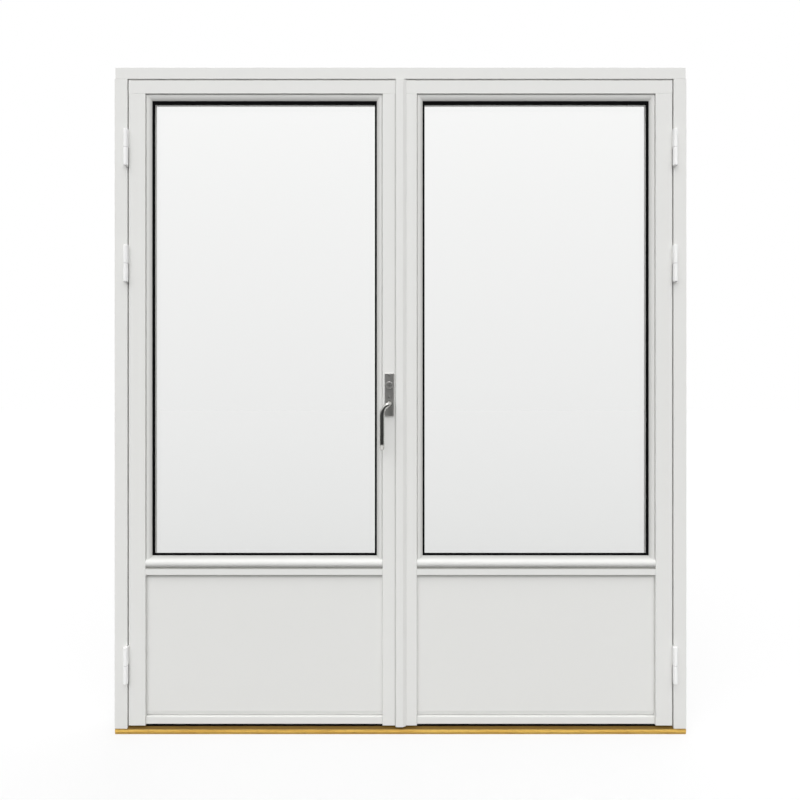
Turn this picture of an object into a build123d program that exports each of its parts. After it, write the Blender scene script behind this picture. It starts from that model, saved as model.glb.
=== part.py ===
from build123d import *
import os

os.makedirs("parts", exist_ok=True)

# A pair of painted timber french doors in their frame, with an oak threshold.
# Sizes are in millimetres. X runs along the wall, +Y goes indoors and Z is up.
# The outdoor face of the frame lies at y = 0, the underside of the threshold at z = 0.

# Frame
frame_width = 1785.0
frame_height = 2080.0
frame_depth = 105.0
jamb_face = 40.3
head_face = 36.0
board_end_step = 2.8
stop_step = 15.0
arris = 2.0
joint_arris = 1.0

# Threshold
sill_height = 16.5
sill_nose = 3.0
sill_drip_height = 7.9
sill_drip_depth = 2.0
sill_round = 2.0
sill_rise = 5.0
slope_end = 17.0
sill_stop_height = 40.0

# Leaves
leaf_thickness = 60.0
leaf_gap = 4.0
meeting_gap = 4.0
meeting_x = -2.5
foot_gap = 5.0
seal_gap = 4.0
rest_gap = 0.3

# Stiles and rails
stile_face = 52.0
stile_lap = 14.0
rebate_depth = 44.0
top_rail_face = 41.6
top_rail_lap = 14.0
mid_rail_base = 495.0
mid_rail_face = 22.5
mid_rail_lap = 30.0
foot_rail_recess = 7.0
foot_rail_lift = 0.6
foot_rail_face = 24.2
foot_rail_fall = 2.2
foot_rail_lap = 14.0
tenon_length = 30.0
tenon_thickness = 16.0
tenon_fit = 0.2
tenon_shoulder = 3.5
top_tenon = 22.0
top_tenon_inset = 16.0
top_tenon_width = 28.0

# Panel
panel_recess = 12.0
panel_gap = 0.4
panel_foot_gap = 0.8
drip_height = 11.5
drip_depth = 3.2

# Glass
glass_edge_gap = 5.0
pane_thickness = 4.0
glass_cavity = 16.0
seal_thickness = 2.0
seal_lip = 6.4
seal_lip_top = 9.2
seal_lip_height = 5.0
seal_inset = 2.0
inner_seal_width = 6.0
spacer_width = 8.0
spacer_inset = 1.0
block_length = 100.0
block_from_edge = 80.0

# Glazing beads
side_bead_width = 17.4
top_bead_width = 18.4
bead_fit = 0.3
bead_front = 4.2
bead_crown = 5.4
bead_crown_share = 0.55
bead_nose = 9.8
bead_quirk = 2.2
sill_bead_height = 36.7
sill_bead_lift = 3.4
sill_bead_heel = 7.0
sill_bead_lip = 5.0
sill_bead_proud = 1.6
sill_bead_nose_height = 11.2
sill_bead_shoulder = 22.5
sill_bead_shoulder_depth = 1.6

# Seals on the leaves and in the frame
foot_seal_depth = 6.0
foot_seal_setback = 1.0
foot_seal_drop = 6.2
frame_seal_width = 6.5
frame_seal_inset = 2.2
frame_seal_root = 5.0
frame_seal_root_width = 2.5

# Cover strips over the meeting joint
astragal_left = 13.3
astragal_flat = 10.0
astragal_bevel = 9.5
astragal_height = 8.0
astragal_lip = 1.8
astragal_round = 4.0
astragal_foot = 25.4
inner_strip_width = 39.0
inner_strip_lap = 14.0
inner_strip_height = 14.0
inner_strip_clear = 4.0
inner_strip_round = 4.0

# Hinges, by the height of the split between their knuckles
hinge_from_foot = 218.0
hinges_from_top = (613.8, 253.0)
hinge_offset = 3.0
barrel_radius = 7.5
barrel_clear = 1.5
knuckle_length = 57.5
knuckle_split = 0.8
knuckle_round = 2.5
pin_radius = 4.0
pin_fit = 0.05
pin_end_gap = 2.0
pin_cap = 6.0
pin_chamfer = 1.0
wing_thickness = 2.5
wing_reach = 32.0
leaf_wing_proud = 1.5
frame_wing_proud = 1.2
frame_wing_start = 4.5
wing_fit = 0.2
wing_hole_radius = 2.3
wing_hole_sink = 4.4
wing_hole_spacing = 36.0

# Fixings through the jambs
fixing_y = 32.0
fixings_from_foot = (330.0, 780.0)
fixings_from_top = (390.0, 840.0)
sleeve_radius = 7.0
sleeve_bore = 4.5
sleeve_fit = 0.05

# Espagnolette in the meeting stile of the active leaf
lock_y = 30.0
backset = 30.5
lever_height = 1031.0
faceplate_width = 16.0
faceplate_thickness = 3.0
faceplate_end = 12.0
groove_width = 10.6
groove_depth = 12.0
lock_fit = 0.15
case_depth = 34.0
case_thickness = 16.0
case_below = 46.0
case_above = 79.0
rod_width = 9.0
rod_thickness = 5.0
rod_centre = 7.5
rod_inner_gap = 25.0
bolt_radius = 4.0
bolt_length = 46.0
bolt_throw = 12.0
bolt_chamfer = 1.0
bolt_bore_radius = 4.6
bolt_bore_depth = 16.0
keep_thickness = 2.5
keep_width = 22.0
keep_length = 56.0

# Flush bolts in the meeting stile of the passive leaf
flush_length = 170.0
flush_end = 8.0
flush_travel = 18.0
thumb_height = 14.0
thumb_width = 6.0
thumb_from_end = 130.0
thumb_sink = 0.5
thumb_fit = 0.4

# Handle plates and levers
plate_width = 28.0
plate_height = 134.4
plate_thickness = 6.0
plate_below_lever = 40.0
plate_corner = 2.0
plate_round = 1.5
screw_radius = 2.4
screw_head_radius = 4.0
screw_head_height = 1.2
screw_fit = 0.1
upper_screw_above = 88.0
lower_screw_above = 20.0
spindle_side = 8.0
spindle_fit = 0.05
spindle_reach = 24.0
spindle_end_gap = 1.0
follower_radius = 10.0
follower_fit = 0.1
collar_radius = 9.0
collar_height = 7.0
collar_fit = 0.1
lever_radius = 7.5
lever_projection = 47.0
lever_shift = 21.6
lever_drop = 19.0
lever_neck_bend = 12.0
lever_elbow_bend = 34.0
lever_length = 139.0
lever_tip_run = 16.0
lever_tip_return = 6.0
lever_tip_bend = 14.0
stile_bore_radius = 11.4

# Lock cylinder and thumb turn
cylinder_above = 57.0
cylinder_radius = 11.0
cylinder_fit = 0.1
cylinder_proud = 3.0
plug_radius = 6.5
plug_fit = 0.06
plug_proud = 0.6
keyway_width = 2.0
keyway_height = 8.5
keyway_depth = 18.0
turn_shank_radius = 4.0
turn_boss_radius = 8.0
turn_boss_height = 6.0
turn_wing_length = 24.0
turn_wing_thickness = 5.0
turn_wing_height = 14.0

# Places that follow from the sizes above
jamb_outer = frame_width / 2
jamb_inner = jamb_outer - jamb_face
board_end = jamb_outer - board_end_step
leaf_edge = jamb_inner - leaf_gap
head_under = frame_height - head_face
leaf_top = head_under - leaf_gap
sill_top = sill_height + sill_rise
leaf_foot = sill_top + foot_gap
stop_front = leaf_thickness + seal_gap
stop_inner = jamb_inner - stop_step
head_stop_under = head_under - stop_step

stile_width = stile_face + stile_lap
top_rail_base = leaf_top - top_rail_face
mid_rail_top = mid_rail_base + mid_rail_face
foot_rail_base = leaf_foot + foot_rail_lift
foot_rail_top = foot_rail_base + foot_rail_face
foot_seal_y = foot_rail_recess + foot_seal_setback
panel_base = foot_rail_top + foot_rail_fall + panel_foot_gap

unit_back = rebate_depth - seal_thickness
unit_front = unit_back - glass_cavity - 2 * pane_thickness
bead_back = unit_front - seal_thickness
glass_low = mid_rail_top + glass_edge_gap
glass_high = top_rail_base - glass_edge_gap
sill_bead_top = mid_rail_top + bead_fit + sill_bead_height

hinge_x = leaf_edge + leaf_gap / 2 + hinge_offset
hinge_y = -(barrel_radius + barrel_clear)
leaf_wing_x = leaf_edge + leaf_wing_proud
frame_wing_x = jamb_inner + wing_thickness - frame_wing_proud
lock_x = meeting_x - meeting_gap / 2 - backset

hinge_heights = (hinge_from_foot, *(frame_height - drop for drop in hinges_from_top))
fixing_heights = (*fixings_from_foot, *(frame_height - drop for drop in fixings_from_top))

plate_base = lever_height - plate_below_lever
upper_screw_height = lever_height + upper_screw_above
lower_screw_height = lever_height + lower_screw_above
cylinder_height = lever_height + cylinder_above
lever_tip_height = lever_height - lever_length

# How far a cutting shape runs past what it cuts
over = 1.0


def block(x, y, z):
    """A plain box, from the low and high value on each axis."""
    low = [min(pair) for pair in (x, y, z)]
    high = [max(pair) for pair in (x, y, z)]
    size = [b - a for a, b in zip(low, high)]
    middle = [(a + b) / 2 for a, b in zip(low, high)]
    return Pos(*middle) * Box(*size)


def outline(points):
    """A closed outline. A corner with a third number is rounded to that radius."""
    face = make_face(Polyline(*[point[:2] for point in points], close=True))
    for point in points:
        if len(point) == 3:
            corner = face.vertices().sort_by_distance((point[0], point[1], 0))[0]
            face = fillet(corner, point[2])
    return face


def upright(points, z):
    """A bar with this outline in plan, standing between two heights."""
    return Pos(0, 0, z[0]) * extrude(outline(points), z[1] - z[0], dir=(0, 0, 1))


def crossways(face, x):
    """A bar with this (y, z) outline, running along the wall between two places."""
    side = Plane(origin=(x[0], 0, 0), x_dir=(0, 1, 0), z_dir=(1, 0, 0))
    return extrude(side * face, x[1] - x[0], dir=(1, 0, 0))


def through(x, z, radius, y):
    """A round bar that runs from outdoors to indoors."""
    bar = Cylinder(radius, y[1] - y[0], rotation=(90, 0, 0))
    return Pos(x, (y[0] + y[1]) / 2, z) * bar


def post(x, y, radius, z):
    """A round bar that stands upright."""
    return Pos(x, y, (z[0] + z[1]) / 2) * Cylinder(radius, z[1] - z[0])


def sideways(x, y, z, radius):
    """A round bar that runs along the wall."""
    bar = Cylinder(radius, abs(x[1] - x[0]), rotation=(0, 90, 0))
    return Pos((x[0] + x[1]) / 2, y, z) * bar


def ring(x, y, z, side, top, bottom):
    """A rectangular ring that faces outdoors, with its own width on each side."""
    inner = block(
        (min(x) + side, max(x) - side), y, (z[0] + bottom, z[1] - top)
    )
    return block(x, y, z) - inner


def save(name, *solids):
    """Write the solids of one named piece to a file of their own."""
    loose = [solid for shape in solids for solid in shape.solids()]
    whole = loose[0] if len(loose) == 1 else Compound(children=loose)
    whole.label = name
    export_step(whole, f"parts/{name}.step")


class Leaf:
    """One door leaf. side is -1 where it hangs on the left jamb and 1 on the right."""

    def __init__(self, name, side):
        self.name = name
        self.side = side
        self.hinge_edge = side * leaf_edge
        self.meeting_edge = meeting_x + side * meeting_gap / 2

    def from_hinge(self, inwards):
        return self.hinge_edge - self.side * inwards

    def from_meeting(self, inwards):
        return self.meeting_edge + self.side * inwards

    def between(self, inwards):
        """Both places this far inwards from the leaf's two edges, low one first."""
        return tuple(sorted((self.from_hinge(inwards), self.from_meeting(inwards))))

    def file(self, piece):
        return f"{self.name}_{piece}"


# Frame


def jamb(side):
    """A rebated jamb with pockets for the hinge wings and bores for the fixings."""
    plan = [
        (side * jamb_outer, 0, arris),
        (side * jamb_inner, 0, arris),
        (side * jamb_inner, stop_front),
        (side * stop_inner, stop_front, arris),
        (side * stop_inner, frame_depth, arris),
        (side * jamb_outer, frame_depth, arris),
    ]
    body = upright(plan, (sill_height, head_under))
    for height in hinge_heights:
        body -= block(
            (side * frame_wing_x, side * leaf_edge),
            (-barrel_clear, wing_reach + wing_fit),
            (height - knuckle_length - wing_fit, height),
        )
    for z in fixing_heights:
        across = (side * (jamb_inner - over), side * (jamb_outer + over))
        body -= sideways(across, fixing_y, z, sleeve_radius + sleeve_fit)
    body -= frame_seal_groove(side)
    return body


def sleeve(side, z):
    """A steel sleeve that a frame screw passes through."""
    across = (side * jamb_inner, side * jamb_outer)
    return sideways(across, fixing_y, z, sleeve_radius) - sideways(
        across, fixing_y, z, sleeve_bore
    )


def seal_line(edge, towards):
    """The low and high place of the frame seal, measured in from a stop's edge."""
    near = edge + towards * frame_seal_inset
    return tuple(sorted((near, near + towards * frame_seal_width)))


def seal_root(line):
    """The narrow root of a seal strip, centred on the strip."""
    middle = sum(line) / 2
    return (middle - frame_seal_root_width / 2, middle + frame_seal_root_width / 2)


seal_sides = {side: seal_line(side * stop_inner, side) for side in (-1, 1)}
seal_top = seal_line(head_stop_under, 1)
seal_bottom = seal_line(sill_stop_height, -1)
seal_depth = (leaf_thickness + rest_gap, stop_front)
seal_root_depth = (stop_front, stop_front + frame_seal_root)


def frame_seal_groove(side):
    """The groove in a jamb's stop that holds the seal's root."""
    return block(
        seal_root(seal_sides[side]), seal_root_depth, (sill_height, head_under)
    )


def frame_seal():
    """Rubber strips round the stops, each pushed into its groove."""
    strips = []
    upright_run = (max(seal_bottom), min(seal_top))
    for side in (-1, 1):
        strip = block(seal_sides[side], seal_depth, upright_run)
        strips.append(
            strip + block(seal_root(seal_sides[side]), seal_root_depth, upright_run)
        )
    across = (min(seal_sides[-1]), max(seal_sides[1]))
    root_across = (-stop_inner, stop_inner)
    for line in (seal_top, seal_bottom):
        strip = block(across, seal_depth, line)
        strips.append(strip + block(root_across, seal_root_depth, seal_root(line)))
    return strips


def head():
    """The head board lies on the jambs and carries the upper stop and keep."""
    board = outline(
        [
            (0, head_under, joint_arris),
            (0, frame_height, arris),
            (frame_depth, frame_height, arris),
            (frame_depth, head_under),
        ]
    )
    stop = outline(
        [
            (stop_front, head_stop_under, arris),
            (stop_front, head_under),
            (frame_depth, head_under),
            (frame_depth, head_stop_under, arris),
        ]
    )
    body = crossways(board, (-board_end, board_end))
    body += crossways(stop, (-stop_inner, stop_inner))
    body -= block((-stop_inner, stop_inner), seal_root_depth, seal_root(seal_top))
    body -= keep_plate_space((head_under, head_under + keep_thickness))
    for x in bolt_places():
        body -= post(
            x, lock_y, bolt_bore_radius, (head_under, head_under + bolt_bore_depth)
        )
    return body


def threshold():
    """An oak threshold with a drip edge, a weathered slope and the lower stop."""
    front = -sill_nose
    base = outline(
        [
            (front + sill_drip_depth, 0),
            (front, sill_drip_height),
            (front, sill_height, sill_round),
            (frame_depth, sill_height),
            (frame_depth, 0),
        ]
    )
    slope = outline(
        [
            (front + sill_round, sill_height),
            (slope_end, sill_top),
            (stop_front, sill_top),
            (stop_front, sill_height),
        ]
    )
    stop = outline(
        [
            (stop_front, sill_height),
            (stop_front, sill_stop_height, arris),
            (frame_depth, sill_stop_height, arris),
            (frame_depth, sill_height),
        ]
    )
    body = crossways(base, (-board_end, board_end))
    body += crossways(slope, (-jamb_inner, jamb_inner))
    body += crossways(stop, (-stop_inner, stop_inner))
    body -= block((-stop_inner, stop_inner), seal_root_depth, seal_root(seal_bottom))
    body -= keep_plate_space((sill_top - keep_thickness, sill_top))
    for x in bolt_places():
        body -= post(
            x, lock_y, bolt_bore_radius, (sill_top - bolt_bore_depth, sill_top)
        )
    return body


def bolt_places():
    """Where the bolts of the two leaves stand, along the wall."""
    return [leaf.from_meeting(rod_centre) for leaf in (active, passive)]


def keep_plate_space(z):
    """The let-in place for a keep plate."""
    return keep_plate_box(z, lock_fit)


def keep_plate_box(z, ease=0.0):
    """A keep plate's outline over both bolts, or the place cut for it."""
    half_length = keep_length / 2 + ease
    half_width = keep_width / 2 + ease
    return block(
        (meeting_x - half_length, meeting_x + half_length),
        (lock_y - half_width, lock_y + half_width),
        z,
    )


def keep(z):
    """A flat keep plate with a hole for each leaf's bolt."""
    plate = keep_plate_box(z)
    for x in bolt_places():
        plate -= post(x, lock_y, bolt_bore_radius, z)
    return plate


# Hinges


def wing_holes(x, towards, height):
    """Countersunk screw holes through a hinge wing; towards points into the wood."""
    holes = []
    y = wing_reach / 2
    across = grown(x, over)
    for offset in (-wing_hole_spacing / 2, wing_hole_spacing / 2):
        z = height + offset
        holes.append(sideways(across, y, z, wing_hole_radius))
        sink = Cone(wing_hole_sink, wing_hole_radius, wing_thickness)
        holes.append(Pos(sum(x) / 2, y, z) * Rot(0, towards * 90, 0) * sink)
    return holes


def leaf_hinge_half(side, height):
    """The upper knuckle and the wing that is let into the stile."""
    x = side * hinge_x
    z = (height + knuckle_split / 2, height + knuckle_length)
    knuckle = post(x, hinge_y, barrel_radius, z)
    top_edge = knuckle.edges().sort_by(Axis.Z)[-1]
    knuckle = fillet(top_edge, knuckle_round)
    wing_x = (side * leaf_wing_x, side * (leaf_wing_x - wing_thickness))
    wing = block(wing_x, (hinge_y, wing_reach), z)
    half = knuckle + wing
    half -= post(x, hinge_y, pin_radius + pin_fit, (z[0], z[1] - pin_cap))
    for hole in wing_holes(wing_x, -side, sum(z) / 2):
        half -= hole
    return half


def frame_hinge_half(side, height):
    """The lower knuckle and the wing that is let into the jamb."""
    x = side * hinge_x
    z = (height - knuckle_length, height - knuckle_split / 2)
    knuckle = post(x, hinge_y, barrel_radius, z)
    low_edge = knuckle.edges().sort_by(Axis.Z)[0]
    knuckle = fillet(low_edge, knuckle_round)
    wing_x = (side * frame_wing_x, side * (frame_wing_x - wing_thickness))
    wing = block(wing_x, (hinge_y + frame_wing_start, wing_reach), z)
    half = knuckle + wing
    half -= post(x, hinge_y, pin_radius, (z[0] + pin_cap, z[1]))
    for hole in wing_holes(wing_x, side, sum(z) / 2):
        half -= hole
    return half


def hinge_pin(side, height):
    """A steel pin, fast in the lower knuckle, on which the upper one turns."""
    low = height - knuckle_length + pin_cap
    high = height + knuckle_length - pin_cap - pin_end_gap
    pin = post(side * hinge_x, hinge_y, pin_radius, (low, high))
    return chamfer(pin.edges().sort_by(Axis.Z)[-1], pin_chamfer)


# Leaf woodwork


def stile(place, edge_x, z):
    """A stile with the glazing rebate on its inner side."""
    plan = [
        (edge_x, 0, arris),
        (place(stile_face), 0, arris),
        (place(stile_face), rebate_depth),
        (place(stile_width), rebate_depth),
        (place(stile_width), leaf_thickness, arris),
        (edge_x, leaf_thickness, arris),
    ]
    return upright(plan, z)


def tenon_levels():
    """The heights of the tenons of the middle rail and the foot rail."""
    return [
        (mid_rail_base + tenon_shoulder, mid_rail_top - tenon_shoulder),
        (foot_rail_base + tenon_shoulder, foot_rail_top - tenon_shoulder),
    ]


def tenon_depth():
    """How deep in the stile's thickness the tenons lie."""
    middle = rebate_depth / 2
    return (middle - tenon_thickness / 2, middle + tenon_thickness / 2)


def grown(pair, ease):
    """The same stretch, longer by this much at both ends."""
    return (min(pair) - ease, max(pair) + ease)


def tenons(place, ease):
    """The tenons that one stile receives, or their mortises where ease is given."""
    shapes = []
    x = (place(stile_face), place(stile_face - tenon_length - ease))
    for z in tenon_levels():
        shapes.append(block(x, grown(tenon_depth(), ease), grown(z, ease)))
    return shapes


def top_joint(place, ease):
    """The tenon on top of a stile, or its mortise in the top rail."""
    x = (place(top_tenon_inset), place(top_tenon_inset + top_tenon_width))
    z = (top_rail_base, top_rail_base + top_tenon + ease)
    return block(grown(x, ease), grown(tenon_depth(), ease), z)


def hinge_stile(leaf):
    """The stile that hangs on the hinges, with a pocket for each wing."""
    z = (leaf_foot, top_rail_base)
    body = stile(leaf.from_hinge, leaf.hinge_edge, z)
    back = leaf.side * (leaf_wing_x - wing_thickness)
    for height in hinge_heights:
        body -= block(
            (back, leaf.hinge_edge),
            (0, wing_reach + wing_fit),
            (height, height + knuckle_length + wing_fit),
        )
    for mortise in tenons(leaf.from_hinge, tenon_fit):
        body -= mortise
    return body + top_joint(leaf.from_hinge, 0)


def meeting_stile(leaf):
    """The stile at the middle of the doors, before its lock or bolts are let in."""
    z = (leaf_foot, top_rail_base)
    body = stile(leaf.from_meeting, leaf.meeting_edge, z)
    for mortise in tenons(leaf.from_meeting, tenon_fit):
        body -= mortise
    return body + top_joint(leaf.from_meeting, 0)


def top_rail(leaf):
    """The top rail lies across both stiles and drops a lip behind the glass."""
    section = outline(
        [
            (0, top_rail_base, joint_arris),
            (0, leaf_top, arris),
            (leaf_thickness, leaf_top, arris),
            (leaf_thickness, top_rail_base),
        ]
    )
    lip = outline(
        [
            (rebate_depth, top_rail_base - top_rail_lap),
            (rebate_depth, top_rail_base),
            (leaf_thickness, top_rail_base),
            (leaf_thickness, top_rail_base - top_rail_lap, arris),
        ]
    )
    body = crossways(section, leaf.between(0))
    body += crossways(lip, leaf.between(stile_width))
    for place in (leaf.from_hinge, leaf.from_meeting):
        body -= top_joint(place, tenon_fit)
    return body


def mid_rail(leaf):
    """The rail under the glass, with lips behind the glass and behind the panel."""
    front = outline(
        [
            (0, mid_rail_base, arris),
            (0, mid_rail_top, arris),
            (rebate_depth, mid_rail_top),
            (rebate_depth, mid_rail_base),
        ]
    )
    lips = outline(
        [
            (rebate_depth, mid_rail_base - stile_lap),
            (rebate_depth, mid_rail_top + mid_rail_lap),
            (leaf_thickness, mid_rail_top + mid_rail_lap, arris),
            (leaf_thickness, mid_rail_base - stile_lap, arris),
        ]
    )
    body = crossways(front, leaf.between(stile_face))
    body += crossways(lips, leaf.between(stile_width))
    return body + rail_tenons(leaf, 0)


def foot_rail(leaf):
    """The bottom rail, a little set back, with a sloping top and a lip behind the panel."""
    front = outline(
        [
            (foot_rail_recess, foot_rail_base, arris),
            (foot_rail_recess, foot_rail_top, arris),
            (rebate_depth, foot_rail_top + foot_rail_fall),
            (rebate_depth, foot_rail_base),
        ]
    )
    lip_top = panel_base + foot_rail_lap
    lip = outline(
        [
            (rebate_depth, foot_rail_base),
            (rebate_depth, lip_top),
            (leaf_thickness, lip_top, arris),
            (leaf_thickness, foot_rail_base, arris),
        ]
    )
    body = crossways(front, leaf.between(stile_face))
    body += crossways(lip, leaf.between(stile_width))
    return body + rail_tenons(leaf, 1)


def rail_tenons(leaf, level):
    """Both end tenons of the rail on this level."""
    return tenons(leaf.from_hinge, 0)[level] + tenons(leaf.from_meeting, 0)[level]


def panel(leaf):
    """The lower panel lies in the rebate, with a drip edge at its foot."""
    section = outline(
        [
            (panel_recess, panel_base + drip_height),
            (panel_recess, mid_rail_base - panel_gap),
            (rebate_depth, mid_rail_base - panel_gap),
            (rebate_depth, panel_base),
            (panel_recess + drip_depth, panel_base),
        ]
    )
    return crossways(section, leaf.between(stile_face + panel_gap))


def foot_seal(leaf):
    """A black seal strip under the foot rail."""
    return block(
        leaf.between(stile_face),
        (foot_seal_y, foot_seal_y + foot_seal_depth),
        (foot_rail_base - foot_seal_drop, foot_rail_base),
    )


# Glass and its beads


def glass_opening(leaf, inset):
    """The width and height of the glass, less this much on each side."""
    z = (glass_low + inset, glass_high - inset)
    return leaf.between(stile_face + glass_edge_gap + inset), z


def pane(leaf, y):
    x, z = glass_opening(leaf, 0)
    return block(x, y, z)


def glass_spacer(leaf):
    x, z = glass_opening(leaf, spacer_inset)
    y = (unit_front + pane_thickness, unit_back - pane_thickness)
    return ring(x, y, z, spacer_width, spacer_width, spacer_width)


def glazing_seals(leaf):
    """A flat rubber ring on each side of the glass, the outer one with a raised lip."""
    x, z = glass_opening(leaf, seal_inset)
    bead_end = stile_face + bead_fit + side_bead_width
    side = bead_end + seal_lip - (stile_face + glass_edge_gap + seal_inset)
    top = (z[1] + top_bead_width + bead_fit) - top_rail_base + seal_lip_top
    bottom = sill_bead_top + seal_lip - z[0]
    outer = ring(x, (bead_back, unit_front), z, side, top, bottom)
    lip_x = leaf.between(bead_end)
    lip_z = (sill_bead_top, top_rail_base - bead_fit - top_bead_width)
    lip_y = (bead_back - seal_lip_height, bead_back)
    outer += ring(lip_x, lip_y, lip_z, seal_lip, seal_lip_top, seal_lip)
    width = inner_seal_width
    inner = ring(x, (unit_back, rebate_depth), z, width, width, width)
    return outer, inner


def setting_blocks(leaf):
    """Two packers that carry the glass on the rail."""
    low, high = leaf.between(stile_face + glass_edge_gap + block_from_edge)
    y = (unit_front, unit_back)
    z = (mid_rail_top, glass_low)
    return (
        block((low, low + block_length), y, z),
        block((high - block_length, high), y, z),
    )


def bead_outline(width):
    """A moulded bead, from its quirk (0) to its nose (width), in (across, y)."""
    crown = ThreePointArc(
        (bead_quirk, bead_front),
        (width * bead_crown_share, bead_crown),
        (width, bead_nose),
    )
    rest = Polyline(
        (width, bead_nose),
        (width, bead_back),
        (0, bead_back),
        (0, bead_front + bead_quirk),
        (bead_quirk, bead_front),
    )
    return make_face(Curve() + crown + rest)


def mitre_cut(place, above):
    """What the mitre takes off one bead at a top corner, seen from outdoors."""
    quirk = (place(stile_face + bead_fit), top_rail_base - bead_fit)
    nose = (
        place(stile_face + bead_fit + side_bead_width),
        top_rail_base - bead_fit - top_bead_width,
    )
    corner = (nose[0], quirk[1]) if above else (quirk[0], nose[1])
    front = Plane(origin=(0, 0, 0), x_dir=(1, 0, 0), z_dir=(0, -1, 0))
    face = make_face(Polyline(quirk, nose, corner, close=True))
    return extrude(front * face, leaf_thickness, both=True)


def side_bead(place, foot):
    """An upright bead, mitred at its top and scribed over the sill bead."""
    inwards = place(1) > place(0)
    flat = bead_outline(side_bead_width)
    face = flat if inwards else mirror(flat, Plane.YZ)
    low = mid_rail_top + bead_fit + sill_bead_shoulder
    high = top_rail_base - bead_fit
    bar = Pos(place(stile_face + bead_fit), 0, low) * extrude(
        face, high - low, dir=(0, 0, 1)
    )
    return bar - foot - mitre_cut(place, True)


def top_bead(leaf):
    """The bead along the top of the glass, mitred at both ends."""
    flat = bead_outline(top_bead_width)
    x = leaf.between(stile_face + bead_fit)
    start = (x[0], 0, top_rail_base - bead_fit)
    side = Plane(origin=start, x_dir=(0, 0, -1), z_dir=(1, 0, 0))
    bar = extrude(side * flat, x[1] - x[0], dir=(1, 0, 0))
    for place in (leaf.from_hinge, leaf.from_meeting):
        bar -= mitre_cut(place, False)
    return bar


def sill_bead_outline():
    """The weathered bead under the glass, in (y, z)."""
    base = mid_rail_top + bead_fit
    lip = (sill_bead_lip, base + sill_bead_lift)
    nose = (-sill_bead_proud, base + sill_bead_nose_height)
    shoulder = (sill_bead_shoulder_depth, base + sill_bead_shoulder)
    front = ThreePointArc(lip, nose, shoulder)
    slope = TangentArc(front @ 1, (bead_nose, sill_bead_top), tangent=front % 1)
    rest = Polyline(
        (bead_nose, sill_bead_top),
        (bead_back, sill_bead_top),
        (bead_back, base),
        (sill_bead_heel, base),
        lip,
    )
    return make_face(Curve() + front + slope + rest)


def sill_bead(leaf):
    return crossways(sill_bead_outline(), leaf.between(stile_face + bead_fit))


# Cover strips


def astragal():
    """The outdoor cover strip, fast on the active leaf and lapping the other one."""
    left = meeting_x - astragal_left
    flat_end = meeting_x + astragal_flat
    tip = flat_end + astragal_bevel
    plan = [
        (left, 0),
        (left, -astragal_height, astragal_round),
        (flat_end, -astragal_height, joint_arris),
        (tip, -astragal_lip - rest_gap),
        (tip, -rest_gap),
        (meeting_x, -rest_gap),
        (meeting_x, 0),
    ]
    return upright(plan, (astragal_foot, leaf_top))


def inner_strip():
    """The indoor cover strip, fast on the passive leaf and lapping the active one."""
    left = meeting_x - inner_strip_lap
    right = left + inner_strip_width
    back = leaf_thickness + inner_strip_height
    plan = [
        (left, leaf_thickness + seal_gap),
        (left, back, inner_strip_round),
        (right, back, inner_strip_round),
        (right, leaf_thickness),
        (passive.from_meeting(joint_arris), leaf_thickness),
        (passive.from_meeting(joint_arris), leaf_thickness + seal_gap),
    ]
    return upright(plan, inner_strip_levels())


def inner_strip_levels():
    low = sill_stop_height + inner_strip_clear
    high = head_stop_under - inner_strip_clear
    return low, high


def inner_strip_seal():
    """A seal that the active leaf closes against."""
    left = meeting_x - inner_strip_lap + frame_seal_inset
    y = (leaf_thickness + rest_gap, leaf_thickness + seal_gap)
    return block((left, left + frame_seal_width), y, inner_strip_levels())


# Lock, rods and bolts


def edge_block(leaf, u, half_width, z):
    """A box in a meeting edge: u is how far in, and it is centred on the lock line."""
    x = (leaf.from_meeting(u[0]), leaf.from_meeting(u[1]))
    return block(x, (lock_y - half_width, lock_y + half_width), z)


def edge_groove(leaf, z):
    """The groove in a meeting edge in which the rods slide."""
    return edge_block(leaf, (0, groove_depth), groove_width / 2, z)


def faceplate_levels():
    return leaf_foot + faceplate_end, leaf_top - faceplate_end


def case_levels():
    return lever_height - case_below, lever_height + case_above


def lock_spaces():
    """Everything that is cut out of the active meeting stile and top rail."""
    plate_half = faceplate_width / 2 + lock_fit
    spaces = [
        edge_groove(active, (leaf_foot, leaf_top)),
        edge_block(
            active,
            (0, faceplate_thickness),
            plate_half,
            grown(faceplate_levels(), lock_fit),
        ),
        edge_block(
            active,
            (groove_depth - over, groove_depth + case_depth + lock_fit),
            case_thickness / 2 + lock_fit,
            grown(case_levels(), lock_fit),
        ),
    ]
    y = (-over, leaf_thickness + over)
    spaces.append(through(lock_x, lever_height, stile_bore_radius, y))
    spaces.append(through(lock_x, cylinder_height, stile_bore_radius, y))
    for z in (upper_screw_height, lower_screw_height):
        spaces.append(through(lock_x, z, screw_radius + screw_fit, y))
    return spaces


def active_meeting_stile():
    body = meeting_stile(active)
    for space in lock_spaces():
        body -= space
    return body


def active_top_rail():
    body = top_rail(active)
    for space in lock_spaces()[:2]:
        body -= space
    return body


def faceplate():
    """The long plate that covers the rods in the edge of the active leaf."""
    u = (0, faceplate_thickness)
    return edge_block(active, u, faceplate_width / 2, faceplate_levels())


def lock_case():
    """The gearbox case behind the faceplate, with its bores for follower and cylinder."""
    u = (groove_depth, groove_depth + case_depth)
    body = edge_block(active, u, case_thickness / 2, case_levels())
    y = (lock_y - case_thickness, lock_y + case_thickness)
    body -= through(lock_x, lever_height, follower_radius + follower_fit, y)
    body -= through(lock_x, cylinder_height, cylinder_radius + cylinder_fit, y)
    body -= through(lock_x, lower_screw_height, screw_radius + screw_fit, y)
    return body


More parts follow.
